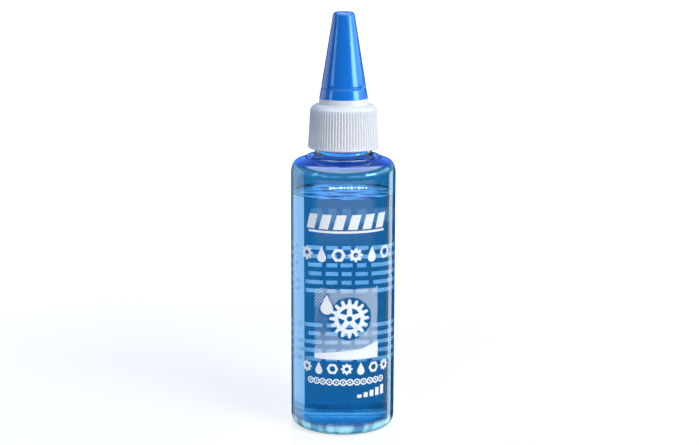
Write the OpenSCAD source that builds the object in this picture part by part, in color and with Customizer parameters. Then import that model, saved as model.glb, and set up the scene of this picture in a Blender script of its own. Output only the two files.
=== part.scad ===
// Chain lube bottle: a clear blown bottle part filled with blue oil, a ribbed screw cap
// with a drip spout, a sealing ring under the cap and a cone cap pushed over the spout.
// Millimetres. The bottle stands on Z = 0 about the Z axis, and its front faces -Y.

/* [Bottle body] */
// Outer diameter of the round body
body_d = 33; // [30:0.5:38]
// Thickness of the body's side wall
wall_t = 0.6; // [0.5:0.05:0.9]
// Height at which the straight wall ends and the shoulder's corner starts
shoulder_z = 81.7; // [77:0.1:110]
// How far the shoulder's corner reaches in from the wall
corner_in = 2.5; // [1.5:0.1:4]
// How far the shoulder's corner rises above the straight wall
corner_up = 4.3; // [2.5:0.1:6]
// Slope of the shoulder's cone against the horizontal, in degrees
shoulder_slope = 20.5; // [14:0.5:30]
// Radius of the heel between the wall and the foot
heel_r = 3; // [2.6:0.1:4]
// Width of the flat ring that the bottle stands on
foot_w = 1.5; // [1:0.1:3]
// Thickness of the plastic over the foot
foot_t = 2.3; // [1.2:0.1:2.5]
// Rise of the pushed-up base above the foot, at its centre
push_up = 2.4; // [1.5:0.1:4]
// Thickness of the base at its centre
base_t = 1.3; // [0.9:0.1:2.5]
// Number of shallow grip notches moulded across the foot
notch_count = 10; // [6:2:16]
// Depth of a grip notch
notch_depth = 0.35; // [0.2:0.05:0.5]
// Width of a grip notch
notch_w = 2; // [1:0.1:3]

/* [Neck] */
// Outer diameter of the neck below its thread
neck_d = 17.8; // [16.5:0.1:20]
// Bore of the neck
neck_bore_d = 14; // [13:0.1:15]
// Height of the neck, from the shoulder cone to the rim
neck_h = 13.3; // [13:0.1:16]
// Radius of the fillet where the neck leaves the shoulder
neck_fillet = 1.2; // [0.6:0.1:1.6]
// Radius where the bore opens out under the shoulder
throat_r = 1.6; // [1:0.1:2.5]
// Slope of the shoulder's inner face against the horizontal, in degrees
throat_slope = 18; // [12:0.5:19]
// Rounding of the rim's edges
rim_round = 0.35; // [0.2:0.05:0.6]

/* [Screw thread] */
// Rise of the thread in one turn
thread_pitch = 3.18; // [2.8:0.02:3.6]
// Height of the neck's thread above the neck
thread_depth = 1; // [0.8:0.05:1.2]
// Turns of thread on the neck and in the cap
thread_turns = 1.5; // [1.25:0.05:1.6]
// Width of the neck's thread at its root
thread_root_w = 2; // [1.6:0.05:2.1]
// Width of the neck's thread at its crest
thread_crest_w = 0.9; // [0.7:0.05:1.1]
// Distance from the rim down to the middle of the thread's upper end
thread_drop = 1.9; // [1.6:0.1:2.4]
// Free space between the threads and the walls that they face
thread_clear = 0.2; // [0.15:0.05:0.3]

/* [Screw cap] */
// Thickness of the cap's skirt at its lower edge
skirt_t = 1.05; // [0.95:0.05:1.6]
// Height of the cap from its lower edge to the top of its deck
cap_h = 13.7; // [12.5:0.1:14.2]
// How much the skirt narrows towards its top, on the radius
cap_draft = 0.65; // [0.3:0.05:0.7]
// Thickness of the cap's deck
deck_t = 1.2; // [1:0.1:2]
// Radius of the cap's top corner
cap_round = 2.3; // [1.5:0.1:2.4]
// Number of grip ribs round the skirt
rib_count = 72; // [48:4:84]
// Radius of the round groove between two ribs
rib_groove_r = 0.3; // [0.22:0.02:0.34]
// Depth of the groove between two ribs
rib_depth = 0.24; // [0.15:0.01:0.3]
// Plain band below the ribs
rib_band = 0.8; // [0.5:0.1:2]
// Depth of the sealing plug below the deck
plug_h = 3.5; // [2:0.1:4.5]
// Thickness of the sealing plug's wall
plug_t = 1; // [0.8:0.05:1.3]
// Running clearance of the sealing plug in the bore, on the radius
plug_clear = 0.08; // [0.05:0.01:0.1]

/* [Sealing ring] */
// Thickness of the sealing ring
liner_t = 0.9; // [0.6:0.1:1.5]
// Free space round the sealing ring inside the cap and round the plug
liner_clear = 0.25; // [0.1:0.05:0.35]

/* [Spout] */
// Height of the collar below the tip cap
collar_h = 1.9; // [1:0.1:3]
// Diameter of the spout at the collar
spout_base_d = 12.2; // [11.6:0.1:12.8]
// Diameter of the spout at its tip
spout_tip_d = 4.5; // [4:0.1:5.2]
// Height of the spout above the collar
spout_h = 23.7; // [16:0.1:32]
// Thickness of the spout's wall
spout_t = 1.2; // [1:0.05:1.3]
// Diameter of the hole at the spout's tip
orifice_d = 1.6; // [1.2:0.1:1.8]
// Length of the straight hole at the spout's tip
orifice_l = 3; // [2:0.1:5]

/* [Tip cap] */
// Thickness of the tip cap's wall
tip_t = 1.15; // [0.9:0.05:1.4]
// Free space between the spout and the tip cap
tip_clear = 0.35; // [0.3:0.05:0.4]
// Free height between the spout's tip and the tip cap's roof
tip_head = 1.4; // [0.5:0.1:3]
// Thickness of the tip cap's roof
roof_t = 1.6; // [1:0.1:3]
// Rounding of the tip cap's top edge
tip_round = 0.8; // [0.4:0.1:1.2]
// Height of the gripping bead above the tip cap's rim
bead_z = 3.5; // [2:0.1:8]
// Height of the gripping bead
bead_h = 1.2; // [0.8:0.1:2]
// Running clearance of the bead on the spout and of the pin in the hole, on the radius
tip_fit = 0.07; // [0.04:0.01:0.1]
// Depth of the sink mark that the bead leaves outside
sink_depth = 0.08; // [0.04:0.01:0.15]
// How far the sealing pin reaches into the spout's hole
pin_reach = 1.8; // [1:0.1:1.9]

/* [Oil] */
// Level of the oil above the foot
fill_z = 75.5; // [40:0.5:76.5]
// Film of space between the oil and the bottle
oil_gap = 0.02; // [0.01:0.01:0.05]

/* [Print] */
// Thickness of the printed ink
ink_t = 0.06; // [0.04:0.01:0.1]
// Film of space between the ink and the bottle
ink_gap = 0.01; // [0.01:0.01:0.03]
// Height of the middle of the title stripes
title_z = 68.9; // [66:0.1:72]
// Height of the middle of the upper row of signs
upper_row_z = 58.6; // [54:0.1:62]
// Height of the lower edge of the picture panel
panel_z = 25.2; // [24:0.1:27]
// Height of the picture panel
panel_h = 22.8; // [18:0.1:25]
// Width of the picture panel, measured straight across
panel_w = 19.8; // [14:0.1:22]
// Height of the middle of the lower row of signs
lower_row_z = 22.2; // [21.6:0.1:22.6]
// Height of the middle of the printed chain
chain_z = 17.9; // [16:0.1:18.6]
// Height of the middle of the level gauge
gauge_z = 14.2; // [10:0.1:14.6]
// Size of a sign in the upper row
upper_sign_d = 4.5; // [3:0.1:5]
// Size of a sign in the lower row
lower_sign_d = 3.7; // [3:0.1:4]
// Height of the uppermost row of bars on the back
back_top_z = 56; // [52:0.1:60]
// Distance between the rows of bars on the back
back_pitch = 2.85; // [2:0.05:3]

/* [Hidden] */
$fn = 96;
arc_steps = 10;
ring_steps = 36;

body_r = body_d / 2;
neck_r = neck_d / 2;
bore_r = neck_bore_d / 2;
corner_c = [body_r - corner_in, shoulder_z];
heel_c = [body_r - heel_r, heel_r];
foot_in = heel_c.x - foot_w;

// Angle on the corner's ellipse at which it runs into a slope of s degrees
function corner_end(rx, rz, s) = atan2(rz, rx * tan(s));

function on_ellipse(c, rx, rz, a) = [c.x + rx * cos(a), c.y + rz * sin(a)];
function arc(c, rx, rz, a0, a1, n = arc_steps) =
    [for (i = [0:n]) on_ellipse(c, rx, rz, a0 + (a1 - a0) * i / n)];
function reversed(p) = [for (i = [len(p) - 1:-1:0]) p[i]];

// Centre of the fillet of radius f between a slope of s degrees that passes p and a neck of radius r
function fillet_c(r, f, p, s) = [r + f, p.y + (p.x - r - f) * tan(s) + f / cos(s)];

corner_a = corner_end(corner_in, corner_up, shoulder_slope);
corner_p = on_ellipse(corner_c, corner_in, corner_up, corner_a);
neck_c = fillet_c(neck_r, neck_fillet, corner_p, shoulder_slope);
rim_z = corner_p.y + (corner_p.x - neck_r) * tan(shoulder_slope) + neck_h;

in_rx = corner_in - wall_t;
in_rz = corner_up - wall_t;
in_a = corner_end(in_rx, in_rz, throat_slope);
in_p = on_ellipse(corner_c, in_rx, in_rz, in_a);
throat_c = fillet_c(bore_r, throat_r, in_p, throat_slope);

// Height of a dome of radius w and rise h, at the distance x from its centre
function dome(x, w, h) = let (r = (w * w + h * h) / (2 * h)) sqrt(r * r - x * x) - (r - h);
function dome_pts(w, h, z) = [for (i = [0:arc_steps]) let (x = w * i / arc_steps) [x, z + dome(x, w, h)]];

floor_rise = push_up + base_t - foot_t;
function inner_floor(gap) = concat(
    dome_pts(foot_in, floor_rise, foot_t + gap),
    arc(heel_c, heel_r - wall_t - gap, heel_r - foot_t - gap, -90, 0));

outer_line = concat(
    dome_pts(foot_in, push_up, 0),
    arc(heel_c, heel_r, heel_r, -90, 0),
    arc(corner_c, corner_in, corner_up, 0, corner_a),
    arc(neck_c, neck_fillet, neck_fillet, 270 - shoulder_slope, 180),
    arc([neck_r - rim_round, rim_z - rim_round], rim_round, rim_round, 0, 90, 4));
inner_line = concat(
    inner_floor(0),
    arc(corner_c, in_rx, in_rz, 0, in_a),
    arc(throat_c, throat_r, throat_r, 270 - throat_slope, 180),
    arc([bore_r + rim_round, rim_z - rim_round], rim_round, rim_round, 180, 90, 4));

// A thread: one trapezium swept up a helix from z0, its ends faded into the wall at root_r
thread_bury = 0.25;
fade_a = 40;
function fade(a, total) = max(0.1, min(1, a / fade_a, (total - a) / fade_a));
function thread_section(a, root_r, crest_r, root_w, crest_w, z0, total) =
    let (
        t = fade(a, total),
        c = root_r + (crest_r - root_r) * t,
        w = root_w + (crest_w - root_w) * t,
        z = z0 + thread_pitch * a / 360)
    [for (p = [[root_r, -root_w], [c, -w], [c, w], [root_r, root_w]])
        [p.x * cos(a), p.x * sin(a), z + p.y / 2]];

module thread(root_r, crest_r, root_w, crest_w, z0) {
    total = 360 * thread_turns;
    n = round(ring_steps * thread_turns);
    points = [for (i = [0:n])
        each thread_section(total * i / n, root_r, crest_r, root_w, crest_w, z0, total)];
    sides = [for (i = [0:n - 1], k = [0:3]) let (a = 4 * i + k, b = 4 * i + (k + 1) % 4)
        each [[a, b, b + 4], [a, b + 4, a + 4]]];
    last = 4 * n;
    faces = concat(sides, [[0, 2, 1], [0, 3, 2], [last, last + 1, last + 2], [last, last + 2, last + 3]]);
    polyhedron(points, crest_r > root_r ? faces : [for (f = faces) [f[2], f[1], f[0]]]);
}

thread_z = rim_z - thread_drop - thread_turns * thread_pitch;
neck_crest_r = neck_r + thread_depth;
bury_w = thread_bury * (thread_root_w - thread_crest_w) / thread_depth;

// Screw cap
cap_bore_r = neck_crest_r + thread_clear;
cap_crest_r = neck_r + thread_clear + 0.05;
cap_depth = cap_bore_r - cap_crest_r;
cap_root_w = thread_pitch - thread_crest_w - 0.65;
cap_crest_w = thread_pitch - thread_root_w - 0.4;
cap_low_r = cap_bore_r + skirt_t;
cap_top_r = cap_low_r - cap_draft;
deck_low_z = rim_z + liner_t;
deck_z = deck_low_z + deck_t;
cap_low_z = deck_z - cap_h;
skirt_h = cap_h - cap_round;
draft_a = atan2(cap_draft, skirt_h);
edge_round = 0.4;
lead_in = 0.6;
plug_r = bore_r - plug_clear;
plug_in_r = plug_r - plug_t;
plug_low_z = deck_low_z - plug_h;

// Spout
collar_z = deck_z + collar_h;
spout_r = spout_base_d / 2;
spout_slope = (spout_base_d - spout_tip_d) / 2 / spout_h;
tip_z = collar_z + spout_h;
function spout_at(z) = spout_r - (z - collar_z) * spout_slope;
channel_top_z = tip_z - orifice_l;
channel_low_r = spout_at(deck_low_z) - spout_t;
orifice_r = orifice_d / 2;
tip_edge = 0.3;

// Tip cap
function tip_cap_at(z) = spout_at(z) + tip_clear + tip_t;
roof_low_z = tip_z + tip_head;
roof_z = roof_low_z + roof_t;
collar_lip = 0.05;
collar_r = tip_cap_at(collar_z) + collar_lip;
pin_r = orifice_r - tip_fit;
pin_low_z = tip_z - pin_reach;
bead_low_z = collar_z + bead_z - bead_h / 2;
bead_top_z = bead_low_z + bead_h;
bead_ramp = 0.5;
sink_half = 0.5;

module grip_notches() {
    notch_r = (notch_w * notch_w / 4 + notch_depth * notch_depth) / (2 * notch_depth);
    for (i = [0:notch_count - 1])
        rotate([0, 0, 360 * i / notch_count])
            translate([foot_in - foot_w / 2, 0, notch_depth - notch_r])
                rotate([0, 90, 0])
                    cylinder(r = notch_r, h = foot_w + heel_r);
}

module bottle() {
    color([0.66, 0.84, 0.97, 0.4])
        union() {
            difference() {
                rotate_extrude()
                    polygon(concat(outer_line, reversed(inner_line)));
                grip_notches();
            }
            thread(neck_r - thread_bury, neck_crest_r, thread_root_w + bury_w, thread_crest_w, thread_z);
        }
}

module chain_lube() {
    color([0.05, 0.36, 0.78, 0.85])
        rotate_extrude()
            polygon(concat(inner_floor(oil_gap), [[body_r - wall_t - oil_gap, fill_z], [0, fill_z]]));
}

module cap_liner() {
    color([0.93, 0.93, 0.9])
        difference() {
            translate([0, 0, rim_z])
                cylinder(r = cap_bore_r - liner_clear, h = liner_t);
            translate([0, 0, rim_z - 1])
                cylinder(r = plug_r + liner_clear, h = liner_t + 2);
        }
}

module rib_grooves() {
    groove_z = cap_low_z + rib_band;
    groove_low_r = cap_low_r - rib_band * tan(draft_a) + rib_groove_r - rib_depth;
    for (i = [0:rib_count - 1])
        rotate([0, 0, 360 * i / rib_count])
            translate([groove_low_r, 0, groove_z])
                rotate([0, -draft_a, 0])
                    cylinder(r = rib_groove_r, h = cap_h, $fn = 24);
}

module spout_cap() {
    outside = concat(
        [[cap_bore_r + lead_in / 2, cap_low_z]],
        arc([cap_low_r - edge_round, cap_low_z + edge_round], edge_round, edge_round, -90, 0, 4),
        arc([cap_top_r - cap_round, deck_z - cap_round], cap_round, cap_round, 0, 90),
        [[collar_r, deck_z]],
        [[collar_r, collar_z]],
        [[spout_r, collar_z]],
        arc([spout_at(tip_z) - tip_edge, tip_z - tip_edge], tip_edge, tip_edge, 0, 90, 3));
    inside = [
        [orifice_r, tip_z],
        [orifice_r, channel_top_z],
        [channel_low_r, deck_low_z],
        [plug_in_r, deck_low_z],
        [plug_in_r, plug_low_z],
        [plug_r - lead_in / 2, plug_low_z],
        [plug_r, plug_low_z + lead_in],
        [plug_r, deck_low_z],
        [cap_bore_r, deck_low_z],
        [cap_bore_r, cap_low_z + lead_in]];
    color([0.94, 0.95, 0.97])
        union() {
            difference() {
                rotate_extrude()
                    polygon(concat(outside, inside));
                rib_grooves();
            }
            thread(cap_bore_r + thread_bury, cap_crest_r, cap_root_w, cap_crest_w,
                thread_z - thread_pitch / 2);
        }
}

module tip_cap() {
    sink_z = collar_z + bead_z;
    outside = concat(
        [[tip_cap_at(collar_z), collar_z]],
        [[tip_cap_at(sink_z - sink_half), sink_z - sink_half]],
        [[tip_cap_at(sink_z) - sink_depth, sink_z]],
        [[tip_cap_at(sink_z + sink_half), sink_z + sink_half]],
        arc([tip_cap_at(roof_z) - tip_round, roof_z - tip_round], tip_round, tip_round, 0, 90, 6),
        [[0, roof_z]]);
    inside = [
        [0, pin_low_z],
        [pin_r - tip_fit, pin_low_z],
        [pin_r, pin_low_z + pin_reach / 4],
        [pin_r, roof_low_z],
        [spout_at(roof_low_z) + tip_clear, roof_low_z],
        [spout_at(bead_top_z + bead_ramp) + tip_clear, bead_top_z + bead_ramp],
        [spout_at(bead_top_z) + tip_fit, bead_top_z],
        [spout_at(bead_low_z) + tip_fit, bead_low_z],
        [spout_at(bead_low_z - bead_ramp) + tip_clear, bead_low_z - bead_ramp],
        [spout_at(collar_z) + tip_clear, collar_z]];
    color([0.1, 0.42, 0.84])
        rotate_extrude()
            polygon(concat(outside, inside));
}

// The film of ink from the height z0 up to z1, all round the wall
module film(z0, z1) {
    rotate_extrude()
        translate([body_r + ink_gap, z0])
            square([ink_t, z1 - z0]);
}

// A plain patch of ink, w degrees wide about the angle a from the front
module patch(a, w, z, h) {
    rotate([0, 0, a - 90 - w / 2])
        rotate_extrude(angle = w)
            translate([body_r + ink_gap, z - h / 2])
                square([ink_t, h]);
}

// Lays a flat shape, drawn with X to the right and Y up, on the wall at the angle a from the front
module at_wall(a, z) {
    intersection() {
        film(panel_z - shoulder_z, shoulder_z);
        rotate([0, 0, a])
            translate([0, 0, z])
                rotate([90, 0, 0])
                    linear_extrude(height = body_r + 1)
                        children();
    }
}

// Angle at the wall that a straight width w spans
function wall_a(w) = 2 * asin(w / 2 / body_r);

module gear_sign(d, teeth, hole) {
    difference() {
        union() {
            circle(d = d * 0.76);
            for (i = [0:teeth - 1])
                rotate(360 * i / teeth)
                    translate([0, -d * 0.65 / teeth])
                        square([d / 2, d * 1.3 / teeth]);
        }
        circle(d = hole);
    }
}

drop_steps = 9;

// A drop of height h: its round end is an arc and its sides run up to a point
module drop_sign(h) {
    r = h * 0.3;
    side_a = acos(r / (h - r));
    polygon(concat([[0, h / 2]],
        arc([0, r - h / 2], r, r, 90 + side_a, 450 - side_a, drop_steps)));
}

module nut_sign(d) {
    difference() {
        circle(d = d, $fn = 6);
        circle(d = d * 0.5);
    }
}

module sign(k, d) {
    if (k % 3 == 0)
        gear_sign(d, 8, d * 0.36);
    if (k % 3 == 1)
        drop_sign(d * 1.1);
    if (k % 3 == 2)
        nut_sign(d);
}

sign_span = 94;
upper_signs = 6;
lower_signs = 7;

module sign_row(count, d, z) {
    for (k = [0:count - 1])
        at_wall(sign_span * (k / (count - 1) - 0.5), z)
            sign(k, d);
}

title_count = 6;
title_span = 80;
title_h = 4.6;
title_w = 3;
title_lean = 1.3;
underline_t = 0.7;
underline_drop = 3.1;

module title_stripes() {
    half = title_h / 2;
    for (k = [0:title_count - 1])
        at_wall(title_span * (k / (title_count - 1) - 0.5), title_z)
            polygon([[-title_w / 2 - title_lean / 2, -half], [title_w / 2 - title_lean / 2, -half],
                [title_w / 2 + title_lean / 2, half], [-title_w / 2 + title_lean / 2, half]]);
    patch(0, title_span + wall_a(title_w), title_z - underline_drop, underline_t);
}

gear_teeth = 16;
gear_d = 12.4;
gear_at = [0.8, 13.2];
gear_margin = 0.5;
spokes = 5;
drop_h = 6.4;
drop_at = [-6.2, 17.6];
// The ground's outline, in shares of the panel's half width and of its height
ground = [[-1, -0.1], [1, -0.1], [1, 0.23], [0.45, 0.15], [-0.2, 0.12], [-1, 0.075]];

module panel_field() {
    translate([-panel_w / 2, 0])
        square([panel_w, panel_h]);
}

module panel_ground() {
    intersection() {
        panel_field();
        polygon([for (p = ground) [p.x * panel_w / 2, p.y * panel_h]]);
    }
}

module chainring_sign() {
    gear_sign(gear_d, gear_teeth, gear_d * 0.56);
    difference() {
        union() {
            circle(d = gear_d * 0.3);
            for (k = [0:spokes - 1])
                rotate(360 * (k + 0.5) / spokes)
                    translate([0, -gear_d * 0.035])
                        square([gear_d * 0.33, gear_d * 0.07]);
        }
        circle(d = gear_d * 0.14);
    }
}

module panel_tint() {
    color([0.62, 0.72, 0.86])
        at_wall(0, panel_z)
            difference() {
                panel_field();
                translate(gear_at)
                    circle(d = gear_d + 2 * gear_margin);
                translate(drop_at)
                    drop_sign(drop_h + 2 * gear_margin);
                panel_ground();
            }
}

chain_pins = 12;
chain_step = 7.6;
bead_d = 2.2;
waist_h = 1;
chain_line = 0.42;
pin_dot = 0.65;

// Angle of pin k from the front
function pin_a(k) = chain_step * (k - (chain_pins - 1) / 2);

// The chain's silhouette with a bead round each pin, grown all round
module chain_band(grow) {
    reach = body_r * sin(pin_a(chain_pins - 1));
    for (k = [0:chain_pins - 1])
        translate([body_r * sin(pin_a(k)), 0])
            scale([cos(pin_a(k)), 1])
                circle(d = bead_d + 2 * grow, $fn = 20);
    translate([-reach, -waist_h / 2 - grow])
        square([2 * reach, waist_h + 2 * grow]);
}

module printed_chain() {
    at_wall(0, chain_z)
        difference() {
            chain_band(0);
            chain_band(-chain_line);
        }
    for (k = [0:chain_pins - 1])
        at_wall(pin_a(k), chain_z)
            circle(d = pin_dot, $fn = 8);
}

gauge_bars = 5;
gauge_a = 29;
gauge_step = 7.4;
gauge_bar_w = 1.4;
gauge_low = 1;
gauge_rise = 0.5;

module level_gauge() {
    for (k = [0:gauge_bars - 1]) {
        h = gauge_low + gauge_rise * k;
        patch(gauge_a + gauge_step * (k - (gauge_bars - 1) / 2), wall_a(gauge_bar_w),
            gauge_z - gauge_low + (h - gauge_low) / 2, h);
    }
}

module front_print() {
    color([0.96, 0.97, 0.98]) {
        title_stripes();
        sign_row(upper_signs, upper_sign_d, upper_row_z);
        at_wall(0, panel_z)
            panel_ground();
        at_wall(0, panel_z)
            translate(gear_at)
                chainring_sign();
        at_wall(0, panel_z)
            translate(drop_at)
                drop_sign(drop_h);
        sign_row(lower_signs, lower_sign_d, lower_row_z);
        printed_chain();
        level_gauge();
    }
}

back_upper_rows = 6;
back_lower_rows = 5;
back_gap_rows = 3;
back_bar_h = 1.3;
back_bars = 13;
back_step = 6;
back_bar_min = 1;
back_bar_more = 0.45;
back_title_z = 66.5;
back_title_h = 4.6;

// Length of bar k in row r, which differs from bar to bar as words do
function back_bar_w(r, k) = back_bar_min + back_bar_more * abs(sin(70 * k + 131 * r));

module back_row(r) {
    short = r % 5 == 4 ? 4 : 0;
    for (k = [0:back_bars - 1 - short])
        patch(180 + back_step * (k - (back_bars - 1) / 2), wall_a(back_bar_w(r, k)),
            back_top_z - r * back_pitch, back_bar_h);
}

// Tall bars on the back at the height of the title
module back_title() {
    for (k = [0:back_bars - 1])
        patch(180 + back_step * (k - (back_bars - 1) / 2), wall_a(back_bar_min),
            back_title_z, back_title_h);
}

module back_print() {
    lower_start = back_upper_rows + back_gap_rows;
    color([0.9, 0.95, 1]) {
        back_title();
        for (r = [0:back_upper_rows - 1])
            back_row(r);
        for (r = [lower_start:lower_start + back_lower_rows - 1])
            back_row(r);
    }
}

bottle();
chain_lube();
cap_liner();
spout_cap();
tip_cap();
front_print();
panel_tint();
back_print();
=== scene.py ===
"""The looks of the chain lube bottle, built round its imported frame.

A clear blown bottle with blue oil in it, white print on its wall, a ribbed screw cap with a
drip spout and a glossy cone cap. Profiles are worked out in millimetres and made in metres.
"""
import math

import bmesh
import bpy
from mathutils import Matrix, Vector, noise

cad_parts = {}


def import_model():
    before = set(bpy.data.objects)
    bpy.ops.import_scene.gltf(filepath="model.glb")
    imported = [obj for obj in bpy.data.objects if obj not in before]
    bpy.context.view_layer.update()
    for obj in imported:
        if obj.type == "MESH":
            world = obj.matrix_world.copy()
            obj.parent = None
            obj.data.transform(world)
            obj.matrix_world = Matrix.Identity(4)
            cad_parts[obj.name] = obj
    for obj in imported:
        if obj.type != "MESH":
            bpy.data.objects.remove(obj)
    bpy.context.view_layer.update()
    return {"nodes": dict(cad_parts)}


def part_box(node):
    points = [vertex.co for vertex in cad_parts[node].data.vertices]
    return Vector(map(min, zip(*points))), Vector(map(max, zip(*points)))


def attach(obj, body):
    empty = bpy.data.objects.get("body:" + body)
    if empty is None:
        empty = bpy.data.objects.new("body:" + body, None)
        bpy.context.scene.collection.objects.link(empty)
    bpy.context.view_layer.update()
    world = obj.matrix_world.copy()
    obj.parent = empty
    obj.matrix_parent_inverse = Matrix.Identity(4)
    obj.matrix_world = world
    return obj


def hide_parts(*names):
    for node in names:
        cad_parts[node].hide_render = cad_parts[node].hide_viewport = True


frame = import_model()

MM = 0.001


def low(node):
    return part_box(node)[0] / MM


def high(node):
    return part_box(node)[1] / MM


# Sizes of the bottle, in millimetres
body_r = high("bottle").x
rim_z = high("bottle").z
wall_t = 0.6
shoulder_z = 81.7
corner_in, corner_up = 2.5, 4.3
shoulder_slope = 20.5
heel_r = 3.0
foot_w, foot_t = 1.5, 2.3
push_up, base_t = 2.4, 1.3
notch_count, notch_depth, notch_w = 10, 0.35, 2.0
neck_r, bore_r = 8.9, 7.0
neck_fillet, throat_r, throat_slope = 1.2, 1.6, 18.0
rim_round = 0.35

# Sizes of the screw thread
thread_pitch, thread_turns, thread_depth = 3.18, 1.5, 1.0
thread_root_w, thread_crest_w = 2.0, 0.9
thread_drop, thread_fade = 1.9, 40.0
thread_z = rim_z - thread_drop - thread_turns * thread_pitch

# Sizes of the screw cap and its spout
cap_low_z = low("spout_cap").z
cap_low_r = high("spout_cap").x
cap_draft, cap_round, cap_edge, cap_clear = 0.65, 2.3, 0.4, 0.2
cap_bore_r = neck_r + thread_depth + cap_clear
cap_thread_depth, root_play, crest_play = 0.95, 0.65, 0.4
deck_low_z, deck_t = high("cap_liner").z, 1.2
deck_z = deck_low_z + deck_t
rib_count, rib_groove_r, rib_depth, rib_band, rib_steps = 72, 0.3, 0.24, 0.8, 10
plug_clear, plug_t, plug_h, lead_in = 0.08, 1.0, 3.5, 0.6
plug_r = bore_r - plug_clear
collar_z = low("tip_cap").z
collar_r, collar_round, collar_foot, collar_foot_mid = 7.65, 0.2, 0.25, 0.07
spout_top_z = high("spout_cap").z
spout_r, spout_tip_r, spout_t, spout_edge = 6.1, 2.25, 1.2, 0.3
orifice_r, orifice_l = 0.8, 3.0

# Sizes of the tip cap
tip_t, tip_clear, tip_round, tip_fit, tip_foot = 1.15, 0.35, 0.8, 0.07, 0.1
roof_z, roof_t = high("tip_cap").z, 1.6
roof_low_z = roof_z - roof_t
pin_l, pin_taper = 1.8, 0.45
pin_r, pin_low_z = orifice_r - tip_fit, spout_top_z - pin_l
bead_up, bead_h, bead_ramp = 3.5, 1.2, 0.5
bead_z = collar_z + bead_up
sink_depth, sink_w, sink_reach = 0.11, 0.4, 1.2

# Oil and print
fill_z = high("chain_lube").z
oil_overlap = 0.03
ink_gap, ink_t = 0.01, 0.06
ink_low_r = body_r + ink_gap
ink_top_r = ink_low_r + ink_t

axis_r = 1e-6  # points nearer to the axis than this lie on it


def on_ellipse(centre, rx, rz, angle):
    a = math.radians(angle)
    return (centre[0] + rx * math.cos(a), centre[1] + rz * math.sin(a))


def arc(centre, rx, rz, a0, a1, n=20):
    return [on_ellipse(centre, rx, rz, a0 + (a1 - a0) * i / n) for i in range(n + 1)]


def rounded(r, z, size, n, start=0):
    """The rounding of an outer upper corner that stands at radius r and height z."""
    return arc((r - size, z - size), size, size, start, 90, n)


def circle(x, y, r, n=24):
    return [(x + r * math.cos(2 * math.pi * i / n), y + r * math.sin(2 * math.pi * i / n))
            for i in range(n)]


def tangent_angle(rx, rz, slope):
    """Angle on an ellipse at which it runs into a line of that slope."""
    return math.degrees(math.atan2(rz, rx * math.tan(math.radians(slope))))


def fillet_centre(r, fillet, point, slope):
    """Centre of a fillet between a slope that passes point and a neck of radius r."""
    s = math.radians(slope)
    return (r + fillet, point[1] + (point[0] - r - fillet) * math.tan(s) + fillet / math.cos(s))


def dome(width, rise, z, n=24):
    """A dome from its centre out to width, standing on the height z."""
    r = (width * width + rise * rise) / (2 * rise)
    xs = [width * i / n for i in range(n + 1)]
    return [(x, z + math.sqrt(r * r - x * x) - (r - rise)) for x in xs]


def rows(z0, z1, step):
    """Heights from z0 to z1, about one step apart."""
    n = max(1, round(abs(z1 - z0) / step))
    return [z0 + (z1 - z0) * i / n for i in range(n + 1)]


def clamped(t):
    return max(0.0, min(1.0, t))


def smooth(t):
    """t held between 0 and 1, with a soft start and end."""
    t = clamped(t)
    return t * t * (3 - 2 * t)


def off_mark(r, angle, count):
    """Distance across, at radius r, from the nearest of count marks round the axis."""
    pitch = 360 / count
    return r * math.sin(math.radians((angle + pitch / 2) % pitch - pitch / 2))


def fan(count, step):
    """The places of count marks, a step apart, measured from their middle."""
    return [step * (k - (count - 1) / 2) for k in range(count)]


def finish_mesh(name, mesh, sharp=32):
    mesh.shade_smooth()
    mesh.set_sharp_from_angle(angle=math.radians(sharp))
    piece = bpy.data.objects.new(name, mesh)
    bpy.context.scene.collection.objects.link(piece)
    return piece


def finish_bmesh(name, bm, sharp=32):
    mesh = bpy.data.meshes.new(name)
    bm.to_mesh(mesh)
    bm.free()
    return finish_mesh(name, mesh, sharp)


def revolve(name, section, steps, loop=False):
    """A closed piece turned about Z. section(angle) gives its outline in radius and height.

    A loop's outline closes on itself; any other starts and ends on the axis.
    """
    verts, rings = [], []
    poles = {}
    for i in range(steps):
        turn = 2 * math.pi * i / steps
        line = section(math.degrees(turn))
        ring = []
        for k, (r, z) in enumerate(line):
            if r < axis_r:
                if k not in poles:
                    poles[k] = len(verts)
                    verts.append((0, 0, z * MM))
                ring.append(poles[k])
            else:
                ring.append(len(verts))
                verts.append((r * math.cos(turn) * MM, r * math.sin(turn) * MM, z * MM))
        rings.append(ring)
    faces = []
    for i in range(steps):
        here, there = rings[i], rings[(i + 1) % steps]
        count = len(here)
        for k in range(count if loop else count - 1):
            m = (k + 1) % count
            corners = [here[k], there[k], there[m], here[m]]
            faces.append(list(dict.fromkeys(corners)))
    mesh = bpy.data.meshes.new(name)
    mesh.from_pydata(verts, [], faces)
    bm = bmesh.new()
    bm.from_mesh(mesh)
    bmesh.ops.recalc_face_normals(bm, faces=bm.faces)
    bm.to_mesh(mesh)
    bm.free()
    return finish_mesh(name, mesh)


def thread_height(angle, z, start_z, root_w, crest_w, depth):
    """How far the thread stands over its wall at an angle and height."""
    total = 360 * thread_turns
    flank_w = (root_w - crest_w) / 2
    best = 0.0
    a = angle
    while a <= total:
        fade = clamped(min(a, total - a) / thread_fade)
        off = abs(z - start_z - thread_pitch * a / 360)
        best = max(best, depth * fade * smooth((root_w / 2 - off) / flank_w))
        a += 360
    return best


# Bottle

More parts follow.
